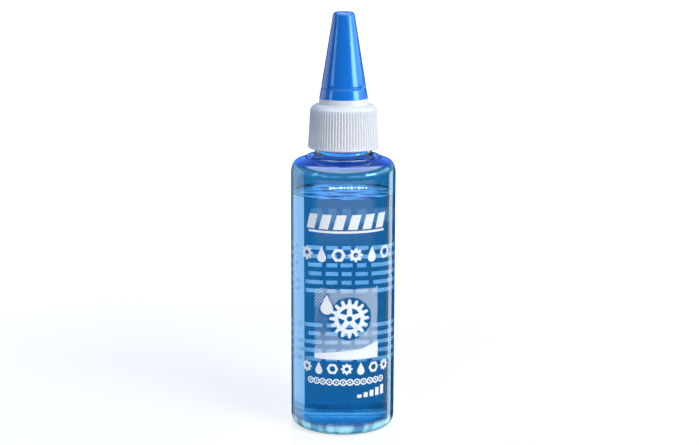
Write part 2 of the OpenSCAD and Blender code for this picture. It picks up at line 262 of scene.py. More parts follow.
corner_c = (body_r - corner_in, shoulder_z)
heel_c = (body_r - heel_r, heel_r)
foot_in = heel_c[0] - foot_w
corner_a = tangent_angle(corner_in, corner_up, shoulder_slope)
neck_c = fillet_centre(neck_r, neck_fillet, on_ellipse(corner_c, corner_in, corner_up, corner_a),
                       shoulder_slope)
in_rx, in_rz = corner_in - wall_t, corner_up - wall_t
in_a = tangent_angle(in_rx, in_rz, throat_slope)
throat_c = fillet_centre(bore_r, throat_r, on_ellipse(corner_c, in_rx, in_rz, in_a), throat_slope)

# Soft waves that blowing leaves in the heel: height, count round the bottle, phase
HEEL_WAVES = [(0.16, 7, 0.5), (0.12, 11, 2.0), (0.08, 19, 4.1)]


def inner_floor(gap, angle):
    """The bottle's inner floor and heel, moved in by gap."""
    wave = sum(h * math.sin(math.radians(count * angle) + phase) for h, count, phase in HEEL_WAVES)
    floor_rise = push_up + base_t - foot_t
    heel = []
    for r, z in arc(heel_c, heel_r - wall_t - gap, heel_r - foot_t - gap, -90, 0):
        share = smooth((heel_c[1] - z) / (heel_r - foot_t))
        heel.append((r, z + wave * share * (r - foot_in) / (body_r - foot_in)))
    return dome(foot_in, floor_rise, foot_t + gap) + heel


bottle_foot = dome(foot_in, push_up, 0) + arc(heel_c, heel_r, heel_r, -90, 0, 28)
ring_r, ring_rise, ring_w = 11.3, 0.22, 0.4
cone_start = on_ellipse(corner_c, corner_in, corner_up, corner_a)
cone_end = on_ellipse(neck_c, neck_fillet, neck_fillet, 270 - shoulder_slope)


def cone_line(n=40):
    """The shoulder's cone with the soft ring that the mould's neck plate leaves."""
    line = []
    for i in range(1, n):
        r = cone_start[0] + (cone_end[0] - cone_start[0]) * i / n
        z = cone_start[1] + (cone_end[1] - cone_start[1]) * i / n
        line.append((r, z + ring_rise * math.exp(-((r - ring_r) / ring_w) ** 2)))
    return line


bottle_shoulder = (arc(corner_c, corner_in, corner_up, 0, corner_a, 28) + cone_line()
                   + arc(neck_c, neck_fillet, neck_fillet, 270 - shoulder_slope, 180))
bottle_rim = rounded(neck_r, rim_z, rim_round, 6)
bottle_throat = (arc(corner_c, in_rx, in_rz, 0, in_a, 28)
                 + arc(throat_c, throat_r, throat_r, 270 - throat_slope, 180)
                 + arc((bore_r + rim_round, rim_z - rim_round), rim_round, rim_round, 180, 90, 6))
neck_step = 0.16
neck_zs = rows(neck_c[1], rim_z - rim_round, neck_step)[1:-1]
notch_r = (notch_w ** 2 / 4 + notch_depth ** 2) / (2 * notch_depth)


def notched(r, z, angle):
    """Height of a foot point after the grip notches are taken out."""
    off = off_mark(r, angle, notch_count)
    if r < foot_in - foot_w / 2 or abs(off) > notch_w / 2:
        return z
    return max(z, notch_depth - notch_r + math.sqrt(notch_r ** 2 - off ** 2))


def bottle_section(angle):
    foot = [(r, notched(r, z, angle)) for r, z in bottle_foot]
    neck = [(neck_r + thread_height(angle, z, thread_z, thread_root_w, thread_crest_w,
                                    thread_depth), z) for z in neck_zs]
    inside = inner_floor(0, angle) + bottle_throat
    return foot + bottle_shoulder + neck + bottle_rim + inside[::-1]


# Oil

# Ripples: height, length, heading in degrees, phase
RIPPLES = [(0.07, 7.5, 70, 0.4), (0.05, 5.2, 104, 2.1), (0.035, 4.1, 58, 1.2),
           (0.02, 2.9, 85, 3.0)]
meniscus_rise, meniscus_w = 0.45, 0.55
surface_step, calm_w = 0.3, 2.0


def ripple(x, y):
    """Height of the oil's surface over its level, in millimetres."""
    total = 0.0
    for height, length, heading, phase in RIPPLES:
        h = math.radians(heading)
        along = x * math.cos(h) + y * math.sin(h)
        total += height * math.sin(2 * math.pi * along / length + phase)
    return total


def oil_section(angle):
    wall_r = body_r - wall_t + oil_overlap
    a = math.radians(angle)
    surface = []
    for r in rows(wall_r, 0, surface_step):
        calm = 1 - smooth((r - wall_r + calm_w) / calm_w)
        z = fill_z + ripple(r * math.cos(a), r * math.sin(a)) * calm
        z += meniscus_rise * math.exp((r - wall_r) / meniscus_w)
        surface.append((r, z))
    return inner_floor(-oil_overlap, angle) + surface


froth_bubbles, froth_r, bubble_h = 11, 0.55, 0.8
froth_x, froth_l = -3.6, 11.4
froth_y, froth_lean, froth_sway, froth_bend = 6.6, 0.6, 0.5, 5.0
froth_mean, froth_vary, froth_beat, froth_phase = 0.75, 0.25, 2.4, 0.6


def bubble(bm, x, y, z, r, steps=20, rings=6):
    """A closed dome of radius r with a flat underside, centred on a point of the surface."""
    rows_made = []
    for k in range(rings):
        a = math.pi / 2 * k / rings
        up = z + bubble_h * r * math.sin(a)
        rows_made.append([bm.verts.new(Vector((px, py, up)) * MM)
                          for px, py in circle(x, y, r * math.cos(a), steps)])
    top = bm.verts.new(Vector((x, y, z + bubble_h * r)) * MM)
    bm.faces.new(rows_made[0][::-1])
    for here, there in zip(rows_made, rows_made[1:]):
        for i in range(steps):
            bm.faces.new((here[i], here[(i + 1) % steps], there[(i + 1) % steps], there[i]))
    for i in range(steps):
        bm.faces.new((rows_made[-1][i], rows_made[-1][(i + 1) % steps], top))


def froth(name):
    """A row of small bubbles that float at the back of the oil's surface."""
    bm = bmesh.new()
    for k in range(froth_bubbles):
        t = k / (froth_bubbles - 1)
        x = froth_x + froth_l * t
        y = froth_y + froth_sway * math.sin(froth_bend * t) - froth_lean * t
        r = froth_r * (froth_mean + froth_vary * math.sin(froth_beat * k + froth_phase))
        bubble(bm, x, y, fill_z + ripple(x, y), r)
    return finish_bmesh(name, bm)


# Screw cap

draft = cap_draft / (deck_z - cap_low_z - cap_round)
cap_top_r = cap_low_r - cap_draft
groove_z = cap_low_z + rib_band
spout_slope = (spout_r - spout_tip_r) / (spout_top_z - collar_z)


def spout_at(z):
    return spout_r - (z - collar_z) * spout_slope


def ribbed(r, z, angle):
    """Radius of a skirt point after the grip grooves are taken out."""
    if z < groove_z:
        return r
    off = off_mark(r, angle, rib_count)
    if abs(off) > rib_groove_r:
        return r
    centre_r = cap_low_r - (z - cap_low_z) * draft + rib_groove_r - rib_depth
    return min(r, centre_r - math.sqrt(rib_groove_r ** 2 - off ** 2))


edge_gap, groove_start, skirt_step, spout_step = 0.05, 0.02, 1.2, 1.5
skirt_zs = ([cap_low_z + cap_edge + edge_gap, groove_z - groove_start]
            + rows(groove_z, deck_z - cap_round, skirt_step)[:-1])
cap_skirt = ([(cap_bore_r + lead_in / 2, cap_low_z)]
             + arc((cap_low_r - cap_edge, cap_low_z + cap_edge), cap_edge, cap_edge, -90, 0, 6)
             + [(cap_low_r - (z - cap_low_z) * draft, z) for z in skirt_zs]
             + rounded(cap_top_r, deck_z, cap_round, 20))
cap_spout = ([(collar_r + collar_foot, deck_z),
              (collar_r + collar_foot_mid, deck_z + collar_foot_mid),
              (collar_r, deck_z + collar_foot)]
             + rounded(collar_r, collar_z, collar_round, 5)
             + [(spout_at(z), z) for z in rows(collar_z, spout_top_z - spout_edge, spout_step)]
             + rounded(spout_tip_r, spout_top_z, spout_edge, 5, 10))
cap_channel = [(orifice_r, spout_top_z), (orifice_r, spout_top_z - orifice_l),
               (spout_at(deck_low_z) - spout_t, deck_low_z),
               (plug_r - plug_t, deck_low_z), (plug_r - plug_t, deck_low_z - plug_h),
               (plug_r - lead_in / 2, deck_low_z - plug_h), (plug_r, deck_low_z - plug_h + lead_in),
               (plug_r, deck_low_z)]
bore_step = 0.25
cap_bore_zs = rows(deck_low_z, cap_low_z + lead_in, bore_step)
cap_thread_z = thread_z - thread_pitch / 2
cap_root_w = thread_pitch - thread_crest_w - root_play
cap_crest_w = thread_pitch - thread_root_w - crest_play


def cap_section(angle):
    skirt = [(ribbed(r, z, angle), z) for r, z in cap_skirt]
    bore = [(cap_bore_r - thread_height(angle, z, cap_thread_z, cap_root_w, cap_crest_w,
                                        cap_thread_depth), z) for z in cap_bore_zs]
    return skirt + cap_spout + cap_channel + bore


# Tip cap

def tip_cap_at(z):
    return spout_at(z) + tip_clear + tip_t


def sunk(z):
    """Radius of the tip cap with the faint ring that its inner bead leaves outside."""
    return tip_cap_at(z) - sink_depth * math.exp(-((z - bead_z) / sink_w) ** 2)


sink_step, tip_low_step, tip_high_step = 0.12, 0.6, 1.2
tip_dimple = [(1.2, 0.03), (0, 0.05)]  # radius and depth in the roof
tip_zs = (rows(collar_z + tip_foot, bead_z - sink_reach, tip_low_step)[:-1]
          + rows(bead_z - sink_reach, bead_z + sink_reach, sink_step)
          + rows(bead_z + sink_reach, roof_z - tip_round, tip_high_step)[1:])
tip_outside = ([(tip_cap_at(collar_z) - tip_foot, collar_z)]
               + [(sunk(z), z) for z in tip_zs]
               + rounded(tip_cap_at(roof_z), roof_z, tip_round, 12, 8)
               + [(r, roof_z - depth) for r, depth in tip_dimple])
bead_low_z, bead_top_z = bead_z - bead_h / 2, bead_z + bead_h / 2
tip_bore = [(roof_low_z, tip_clear), (bead_top_z + bead_ramp, tip_clear), (bead_top_z, tip_fit),
            (bead_low_z, tip_fit), (bead_low_z - bead_ramp, tip_clear), (collar_z, tip_clear)]
tip_inside = ([(0, pin_low_z), (pin_r - tip_fit, pin_low_z), (pin_r, pin_low_z + pin_taper),
               (pin_r, roof_low_z)]
              + [(spout_at(z) + gap, z) for z, gap in tip_bore])
tip_line = tip_outside + tip_inside


# Print: flat outlines with X along the wall and Y up, laid on the wall

def patch_outline(w, h):
    return [[(-w / 2, -h / 2), (w / 2, -h / 2), (w / 2, h / 2), (-w / 2, h / 2)]]


def shifted(outlines, dx, dy):
    return [[(x + dx, y + dy) for x, y in line] for line in outlines]


# A gear's tooth, as shares of the diameter and of the pitch
TOOTH = [(0.38, -0.32), (0.475, -0.2), (0.5, -0.12), (0.5, 0.12), (0.475, 0.2), (0.38, 0.32)]
drop_round = 0.3  # radius of a drop's round end, as a share of its height


def polar(d, points):
    """X and Y of points given as shares of the diameter d and angles."""
    return [on_ellipse((0, 0), d * share, d * share, angle) for share, angle in points]


def gear(d, teeth, hole):
    """A gear's outline with rounded tooth tips, and its hole."""
    line = [(share, 360 * (i + place) / teeth) for i in range(teeth) for share, place in TOOTH]
    return [polar(d, line), circle(0, 0, hole / 2)]


def drop(h):
    """A drop of height h: a round end whose sides run up to a point."""
    r = h * drop_round
    side = math.degrees(math.acos(r / (h - r)))
    return [[(0, h / 2)] + arc((0, r - h / 2), r, r, 90 + side, 450 - side)]


def nut(d):
    return [circle(0, 0, d / 2, 6), circle(0, 0, d / 4)]


sign_teeth, sign_hole, sign_drop = 8, 0.36, 1.1  # hole and drop as shares of the diameter


def sign(k, d):
    """The sign at place k of a row: a gear, a drop or a nut."""
    if k % 3 == 0:
        return gear(d, sign_teeth, d * sign_hole)
    if k % 3 == 1:
        return drop(d * sign_drop)
    return nut(d)


def filled(outlines):
    """A flat mesh that fills the outlines, with the inner ones as holes."""
    curve = bpy.data.curves.new("outline", "CURVE")
    curve.dimensions = "2D"
    curve.fill_mode = "BOTH"
    for line in outlines:
        spline = curve.splines.new("POLY")
        spline.points.add(len(line) - 1)
        for point, (x, y) in zip(spline.points, line):
            point.co = (x, y, 0, 1)
        spline.use_cyclic_u = True
    scratch = bpy.data.objects.new("outline", curve)
    bpy.context.scene.collection.objects.link(scratch)
    bpy.context.view_layer.update()
    graph = bpy.context.evaluated_depsgraph_get()
    mesh = bpy.data.meshes.new_from_object(scratch.evaluated_get(graph))
    bpy.data.objects.remove(scratch)
    bpy.data.curves.remove(curve)
    return mesh


cut_step = 0.9


def wall_turn(x):
    """The turn round the bottle, in radians, of a point seen x from the middle of the print."""
    return math.asin(max(-1, min(1, x / body_r)))


def add_to_wall(bm, outlines, angle, z):
    """Lays outlines on the wall as a film of ink, seen straight on at that angle from the front."""
    flat = bmesh.new()
    flat.from_mesh(filled(outlines))
    xs = [v.co.x for v in flat.verts]
    cut = math.floor(min(xs) / cut_step) * cut_step + cut_step
    while cut < max(xs):
        bmesh.ops.bisect_plane(flat, geom=flat.verts[:] + flat.edges[:] + flat.faces[:],
                               plane_co=(cut, 0, 0), plane_no=(1, 0, 0))
        cut += cut_step
    for v in flat.verts:
        a = math.radians(angle) + wall_turn(v.co.x)
        v.co = Vector((math.sin(a), -math.cos(a), (z + v.co.y) / ink_low_r)) * ink_low_r * MM
    grown = bmesh.ops.extrude_face_region(flat, geom=flat.faces[:])["geom"]
    for v in grown:
        if isinstance(v, bmesh.types.BMVert):
            v.co.x *= ink_top_r / ink_low_r
            v.co.y *= ink_top_r / ink_low_r
    bmesh.ops.recalc_face_normals(flat, faces=flat.faces[:])
    mesh = bpy.data.meshes.new("ink")
    flat.to_mesh(mesh)
    flat.free()
    bm.from_mesh(mesh)
    bpy.data.meshes.remove(mesh)


ink_sharp = 40


def ink_piece(name, shapes):
    """One piece of ink from shapes, each given as outlines, an angle and a height."""
    bm = bmesh.new()
    for outlines, angle, z in shapes:
        add_to_wall(bm, outlines, angle, z)
    return finish_bmesh(name, bm, ink_sharp)


title_z, upper_row_z, lower_row_z, chain_z, gauge_z = 68.9, 58.6, 22.2, 17.9, 14.2
panel_z, panel_h, panel_w = 25.2, 22.8, 19.8
upper_signs, upper_sign_d = 6, 4.5
lower_signs, lower_sign_d = 7, 3.7
sign_span = 94
title_line_h, title_line_drop, title_line_over = 0.7, 3.1, 1.0


def title_shapes():
    """Slanted bars with a line under them."""
    count, span, h, w, lean = 6, 80, 4.6, 3.0, 1.3
    slant = [(-w / 2 - lean / 2, -h / 2), (w / 2 - lean / 2, -h / 2),
             (w / 2 + lean / 2, h / 2), (-w / 2 + lean / 2, h / 2)]
    shapes = [([slant], angle, title_z) for angle in fan(count, span / (count - 1))]
    reach = body_r * math.sin(math.radians(span / 2)) + title_line_over
    shapes.append((patch_outline(2 * reach, title_line_h), 0, title_z - title_line_drop))
    return shapes


def row_shapes(count, d, z):
    """A row of signs."""
    return [(sign(k, d), angle, z) for k, angle in enumerate(fan(count, sign_span / (count - 1)))]


gear_d, gear_at = 12.4, (0.8, 13.2)
drop_h, drop_at = 6.4, (-6.2, 17.6)
motif_margin = 0.5
# The picture's ground, as shares of half the panel's width and of its height
GROUND = [(-1, 0), (1, 0), (1, 0.23), (0.45, 0.15), (-0.2, 0.12), (-1, 0.075)]
# One arm of the chainring's spider, as shares of the diameter and angles from its middle
SPIDER = [(0.13, -34), (0.33, -9), (0.33, 9), (0.13, 34)]
arm_count, ring_teeth, ring_hole, bore_share = 5, 16, 0.56, 0.07


def chainring():
    ring = gear(gear_d, ring_teeth, gear_d * ring_hole)
    spider = polar(gear_d, [(share, 90 + 360 / arm_count * k + off)
                            for k in range(arm_count) for share, off in SPIDER])
    return [(shifted(ring, *gear_at), 0, panel_z),
            (shifted([spider, circle(0, 0, gear_d * bore_share)], *gear_at), 0, panel_z)]


def panel_shapes():
    ground = [[(x * panel_w / 2, y * panel_h) for x, y in GROUND]]
    return [(ground, 0, panel_z), (shifted(drop(drop_h), *drop_at), 0, panel_z)] + chainring()


chain_pins, chain_step = 12, 7.6
bead_d, waist_h, chain_line, pin_dot = 2.2, 1.0, 0.42, 0.65
PIN_ANGLES = fan(chain_pins, chain_step)


def chain_band(grow):
    """The chain's silhouette with a bead round each pin, grown all round, as one outline."""
    r = bead_d / 2 + grow
    waist = math.degrees(math.asin((waist_h / 2 + grow) / r))
    upper = []
    for k, angle in enumerate(PIN_ANGLES):
        a = math.radians(angle)
        start = 180 if k == 0 else 180 - waist
        end = 0 if k == chain_pins - 1 else waist
        upper += [(body_r * math.sin(a) + x * math.cos(a), y)
                  for x, y in arc((0, 0), r, r, start, end)]
    return upper + [(x, -y) for x, y in reversed(upper[1:-1])]


def chain_shapes():
    dots = [([circle(0, 0, pin_dot / 2, 12)], angle, chain_z) for angle in PIN_ANGLES]
    return [([chain_band(0), chain_band(-chain_line)], 0, chain_z)] + dots


def gauge_shapes():
    """Level bars that grow to the right."""
    bars, step, middle, w, low_h, rise = 5, 7.4, 29, 1.4, 1.0, 0.5
    shapes = []
    for k, angle in enumerate(fan(bars, step)):
        h = low_h + rise * k
        shapes.append((patch_outline(w, h), middle + angle, gauge_z - low_h + (h - low_h) / 2))
    return shapes


back_angles = [180 + angle for angle in fan(13, 6)]
back_top_z, back_pitch, back_row_h = 56.0, 2.85, 1.3
back_bar_w, back_bar_more = 1.0, 0.45
back_title_z, back_title_h = 66.5, 4.6
BACK_ROWS = [*range(6), *range(9, 14)]
SHORT_ROWS, short_by = (4, 9), 4


def back_title_shapes():
    return [(patch_outline(back_bar_w, back_title_h), angle, back_title_z)
            for angle in back_angles]


def back_shapes():
    """Rows of short bars of uneven width."""
    shapes = []
    for r in BACK_ROWS:
        count = len(back_angles) - (short_by if r in SHORT_ROWS else 0)
        for k, angle in enumerate(back_angles[:count]):
            w = back_bar_w + back_bar_more * abs(math.sin(math.radians(70 * k + 131 * r)))
            shapes.append((patch_outline(w, back_row_h), angle, back_top_z - back_pitch * r))
    return shapes


# Fine screen of the panel: slanted lines whose width follows the picture's tone

screen_pitch, screen_lean, segment = 0.66, 52, 0.45
tone_mid, tone_least, tone_most = 0.39, 0.08, 0.7
pale_by, pale_at, pale_w = 0.34, (0.14, 0.54), 0.24
grain, grain_scale, grain_seed = 0.1, 0.35, 4.0


def in_drop(x, y, h):
    """Whether a point, measured from the drop's middle, lies in a drop of height h."""
    r = h * drop_round
    top, shoulder = h / 2, r - h / 2
    if math.hypot(x, y - shoulder) < r:
        return True
    return shoulder < y < top and abs(x) < r * (top - y) / (top - shoulder)


def ground_height(x):
    """Height of the picture's ground over the panel's foot."""
    u = x / (panel_w / 2)
    points = sorted(GROUND[2:])
    for (x0, y0), (x1, y1) in zip(points, points[1:]):
        if x0 <= u <= x1:
            return panel_h * (y0 + (y1 - y0) * (u - x0) / (x1 - x0))
    return panel_h * points[-1][1]


def tone(x, y):
    """Share of the pitch that ink covers, from 0 to 1. x and y are in millimetres on the panel."""
    if abs(x) > panel_w / 2 or not 0 < y < panel_h or y < ground_height(x):
        return 0
    if math.hypot(x - gear_at[0], y - gear_at[1]) < gear_d / 2 + motif_margin:
        return 0
    if in_drop(x - drop_at[0], y - drop_at[1], drop_h + 2 * motif_margin):
        return 0
    u, v = x / panel_w + 0.5, y / panel_h
    off = math.hypot(u - pale_at[0], v - pale_at[1]) / pale_w
    shade = tone_mid - pale_by * math.exp(-off ** 2)
    shade += grain * noise.noise(Vector((x * grain_scale, y * grain_scale, grain_seed)))
    return max(tone_least, min(tone_most, shade))


def screen_strips():
    """The strips of the screen, each as pairs of points on its two edges."""
    lean = math.radians(screen_lean)
    along = Vector((math.cos(lean), math.sin(lean)))
    across = Vector((-math.sin(lean), math.cos(lean)))
    reach = math.hypot(panel_w, panel_h) / 2 + 1
    middle = Vector((0, panel_h / 2))
    lines, steps = int(reach / screen_pitch), int(2 * reach / segment)
    strips = []
    for n in range(-lines, lines + 1):
        run = []
        for i in range(steps + 1):
            p = middle + across * (n * screen_pitch) + along * (i * segment - reach)
            t = tone(p.x, p.y)
            if t > 0:
                half = across * (t * screen_pitch / 2)
                run.append((p + half, p - half))
            if run and (t == 0 or i == steps):
                if len(run) > 1:
                    strips.append(run)
                run = []
    return strips


def screen_piece(name):
    bm = bmesh.new()
    for strip in screen_strips():
        rings = []
        for edges in strip:
            ring = []
            for r in (ink_low_r, ink_top_r):
                for x, y in edges:
                    a = wall_turn(x)
                    spot = Vector((r * math.sin(a), -r * math.cos(a), panel_z + y))
                    ring.append(bm.verts.new(spot * MM))
            rings.append(ring)
        for p, q in zip(rings, rings[1:]):
            for i, j in ((0, 1), (1, 3), (3, 2), (2, 0)):
                bm.faces.new((p[i], p[j], q[j], q[i]))
        for ring in (rings[0], rings[-1]):
            bm.faces.new((ring[0], ring[1], ring[3], ring[2]))
    bmesh.ops.recalc_face_normals(bm, faces=bm.faces)
    return finish_bmesh(name, bm, ink_sharp)


# Materials

def set_inputs(node, values):
    for key, value in values.items():
        node.inputs[key].default_value = value


def new_material(name, values):
    """A node material with values on the inputs of its main shader."""
    material = bpy.data.materials.new(name)
    material.use_nodes = True
    nodes, links = material.node_tree.nodes, material.node_tree.links
    bsdf = nodes["Principled BSDF"]
    set_inputs(bsdf, values)
    return material, nodes, links, bsdf


def cloud(nodes, links, scale, detail=2.0):
    """A level from 0 to 1 that drifts over the object's own coordinates."""
    place = nodes.new("ShaderNodeTexCoord")
    made = nodes.new("ShaderNodeTexNoise")
    set_inputs(made, {"Scale": scale, "Detail": detail})
    links.new(place.outputs["Object"], made.inputs["Vector"])
    return made.outputs["Fac"]


def colour_noise(nodes, links, scale, dark, light):
    """A colour socket that drifts between two colours in the object's own coordinates."""
    ramp = nodes.new("ShaderNodeValToRGB")
    for stop, position, colour in zip(ramp.color_ramp.elements, (0.3, 0.7), (dark, light)):
        stop.position = position
        stop.color = (*colour, 1)
    links.new(cloud(nodes, links, scale, 4.0), ramp.inputs["Fac"])
    return ramp.outputs["Color"]


def rough_noise(nodes, links, bsdf, scale, least, most):
    level = nodes.new("ShaderNodeMapRange")
    set_inputs(level, {"To Min": least, "To Max": most})
    links.new(cloud(nodes, links, scale), level.inputs["Value"])
    links.new(level.outputs["Result"], bsdf.inputs["Roughness"])


def bump_noise(nodes, links, bsdf, scale, strength, distance=0.0002):
    bump = nodes.new("ShaderNodeBump")
    set_inputs(bump, {"Strength": strength, "Distance": distance})
    links.new(cloud(nodes, links, scale), bump.inputs["Height"])
    links.new(bump.outputs["Normal"], bsdf.inputs["Normal"])


def by_height(nodes, links, stops):
    """A colour socket that follows the height over the foot. Stops are heights and colours."""
    place = nodes.new("ShaderNodeTexCoord")
    split = nodes.new("ShaderNodeSeparateXYZ")
    ramp = nodes.new("ShaderNodeValToRGB")
    for k, (z, colour) in enumerate(stops):
        stop = ramp.color_ramp.elements[k] if k < 2 else ramp.color_ramp.elements.new(0.99)
        stop.position = z / rim_z
        stop.color = (*colour, 1)
    links.new(place.outputs["Object"], split.inputs[0])
    share = joined(nodes, links, "MULTIPLY", split.outputs["Z"], 1 / (rim_z * MM))
    links.new(share, ramp.inputs["Fac"])
    return ramp.outputs["Color"]


def spread(nodes, links, socket, v0, v1, to0, to1):
    """A level that runs smoothly from to0 to to1 while the socket runs from v0 to v1."""
    made = nodes.new("ShaderNodeMapRange")
    made.interpolation_type = "SMOOTHSTEP"
    set_inputs(made, {"From Min": v0, "From Max": v1, "To Min": to0, "To Max": to1})
    links.new(socket, made.inputs["Value"])
    return made.outputs["Result"]


def joined(nodes, links, operation, a, b):
    """A level worked out from two others, each a socket or a float."""
    join = nodes.new("ShaderNodeMath")
    join.operation = operation
    for k, value in enumerate((a, b)):
        if isinstance(value, float):
            join.inputs[k].default_value = value
        else:
            links.new(value, join.inputs[k])
    return join.outputs[0]


def radius_and_height(nodes, links):
    """Sockets for the distance from the axis, the height, and the place without its height."""
    place = nodes.new("ShaderNodeTexCoord")
    flat = nodes.new("ShaderNodeVectorMath")
    flat.operation = "MULTIPLY"
    flat.inputs[1].default_value = (1, 1, 0)
    reach = nodes.new("ShaderNodeVectorMath")
    reach.operation = "LENGTH"
    split = nodes.new("ShaderNodeSeparateXYZ")
    links.new(place.outputs["Object"], flat.inputs[0])
    links.new(flat.outputs[0], reach.inputs[0])
    links.new(place.outputs["Object"], split.inputs[0])
    return reach.outputs["Value"], split.outputs["Z"], flat.outputs[0]


# Where the heel's painted light fades, inwards from the wall and upwards from the foot
skin_from, skin_to = 0.6, 0.4
heel_painted_light_fade, foot_painted_light_fade = (2.6, 4.4), (1.2, 1.9)
block_scale, least_painted_light, most_painted_light = 210, 0.15, 0.75


def heel_clearness_painted_light(nodes, links):
    """1 on the wall, less on the outside of the heel, in milky blocks that show the base colour as
    painted light.
    """
    reach, height, flat = radius_and_height(nodes, links)
    blocks = nodes.new("ShaderNodeTexNoise")
    set_inputs(blocks, {"Scale": block_scale, "Detail": 1.0})
    links.new(flat, blocks.inputs["Vector"])

    def fades(socket, v0, v1, to0=1.0, to1=0.0):
        return spread(nodes, links, socket, v0 * MM, v1 * MM, to0, to1)

    outside = fades(reach, body_r - skin_from, body_r - skin_to, 0.0, 1.0)
    heel = joined(nodes, links, "MULTIPLY", outside, fades(height, *heel_painted_light_fade))
    heel = joined(nodes, links, "MAXIMUM", heel, fades(height, *foot_painted_light_fade))
    patchy = spread(nodes, links, blocks.outputs["Fac"], 0.4, 0.6, least_painted_light, most_painted_light)
    painted_heel_light = joined(nodes, links, "MULTIPLY", heel, patchy)
    return joined(nodes, links, "SUBTRACT", 1.0, painted_heel_light)


# Where the cap's painted inner glow fades, past its bore and its deck
past_bore, past_deck, inner_glow = (0.05, 0.15), (0.02, 0.1), 0.4


def cap_inner_painted_glow(nodes, links):
    """A painted glow on the cap's inside, for the faint light that comes through the milky cap, as
    a level.
    """
    reach, height, _ = radius_and_height(nodes, links)
    bore = [(cap_bore_r + past) * MM for past in past_bore]
    deck = [(deck_low_z + past) * MM for past in past_deck]
    inside = spread(nodes, links, reach, *bore, inner_glow, 0.0)
    under = spread(nodes, links, height, *deck, 1.0, 0.0)
    return joined(nodes, links, "MULTIPLY", inside, under)


# Colour of the clear plastic by height over the foot: foot, wall, headspace, shoulder and neck. The
# wall band is the plastic's faint tint; the pale cyan at the foot is painted light, the deep blue
# at the shoulder is painted shade, and the headspace and neck are painted bluer than the wall
WALL_COLOURS_AND_PAINTED_LIGHT = [
    (0, (0.42, 0.92, 1.0)), (2.4, (0.42, 0.9, 1.0)), (3.6, (0.6, 0.84, 1.0)),
    (7.0, (0.88, 0.96, 0.99)), (75.5, (0.9, 0.96, 0.99)),
    (76.5, (0.55, 0.83, 0.95)), (84.3, (0.55, 0.83, 0.95)),
    (85.3, (0.05, 0.22, 0.86)), (87.3, (0.06, 0.26, 0.88)),
    (88.1, (0.36, 0.58, 0.93)), (88.9, (0.33, 0.62, 0.74))]


def clear_plastic():
    """Clear plastic with painted shade at its shoulder, and painted light at its foot and in milky
    blocks on its heel.
    """
    material, nodes, links, bsdf = new_material("clear_plastic", {"Roughness": 0.0, "IOR": 1.57})
    links.new(by_height(nodes, links, WALL_COLOURS_AND_PAINTED_LIGHT), bsdf.inputs["Base Color"])
    links.new(heel_clearness_painted_light(nodes, links), bsdf.inputs["Transmission Weight"])
    bump_noise(nodes, links, bsdf, 60, 0.03)
    return material


def blue_oil():
    """Clear oil that is blue by what its depth absorbs."""
    material, nodes, links, bsdf = new_material(
        "blue_oil", {"Roughness": 0.0, "IOR": 1.47, "Transmission Weight": 1.0})
    colour = colour_noise(nodes, links, 40, (0.96, 0.99, 1.0), (1.0, 1.0, 1.0))
    links.new(colour, bsdf.inputs["Base Color"])
    inside = nodes.new("ShaderNodeVolumeAbsorption")
    set_inputs(inside, {"Color": (0.766, 0.904, 0.981, 1), "Density": 145})
    links.new(inside.outputs["Volume"], nodes["Material Output"].inputs["Volume"])
    return material


def white_plastic():
    material, nodes, links, bsdf = new_material("white_plastic", {
        "Subsurface Weight": 0.25, "Subsurface Radius": (0.0012, 0.0012, 0.0014),
        "Subsurface Scale": 1.0, "Specular IOR Level": 0.3, "Emission Color": (0.5, 0.7, 1.0, 1)})
    colour = colour_noise(nodes, links, 90, (0.83, 0.835, 0.86), (0.86, 0.865, 0.885))
    links.new(colour, bsdf.inputs["Base Color"])
    # Painted light: the cap's inside glows bluish by emission, in place of light through the cap.
    links.new(cap_inner_painted_glow(nodes, links), bsdf.inputs["Emission Strength"])
    rough_noise(nodes, links, bsdf, 300, 0.3, 0.42)
    bump_noise(nodes, links, bsdf, 1500, 0.05, 0.00005)
    return material


def blue_plastic():
    material, nodes, links, bsdf = new_material(
        "blue_plastic", {"Coat Weight": 0.3, "Coat Roughness": 0.08})
    colour = colour_noise(nodes, links, 55, (0.0, 0.185, 0.72), (0.002, 0.21, 0.79))
    links.new(colour, bsdf.inputs["Base Color"])
    rough_noise(nodes, links, bsdf, 200, 0.16, 0.24)
    bump_noise(nodes, links, bsdf, 120, 0.06)
    return material


def foam():
    material, nodes, links, bsdf = new_material("liner_foam", {"Roughness": 0.85})
    colour = colour_noise(nodes, links, 900, (0.7, 0.7, 0.66), (0.86, 0.86, 0.83))
    links.new(colour, bsdf.inputs["Base Color"])
    bump_noise(nodes, links, bsdf, 2500, 0.4, 0.0001)
    return material


def ink(name, dark, light, roughness=0.4, glow=0.0):
    """Opaque ink. With a glow it's froth, whose emission is painted light: it glows though it is no
    lamp.
    """
    material, nodes, links, bsdf = new_material(name, {})
    colour = colour_noise(nodes, links, 700, dark, light)
    links.new(colour, bsdf.inputs["Base Color"])
    if glow:
        links.new(colour, bsdf.inputs["Emission Color"])
        bsdf.inputs["Emission Strength"].default_value = glow
    rough_noise(nodes, links, bsdf, 400, roughness - 0.06, roughness + 0.06)
    bump_noise(nodes, links, bsdf, 2200, 0.08, 0.00004)
    return material


def mixed(nodes, links, share, first, second):
    """A shader of two others, with share of the second. share is a socket or a float."""
    mix = nodes.new("ShaderNodeMixShader")
    if isinstance(share, float):
        mix.inputs["Fac"].default_value = share
    else:
        links.new(share, mix.inputs["Fac"])
    links.new(first.outputs[0], mix.inputs[1])
    links.new(second.outputs[0], mix.inputs[2])
    return mix


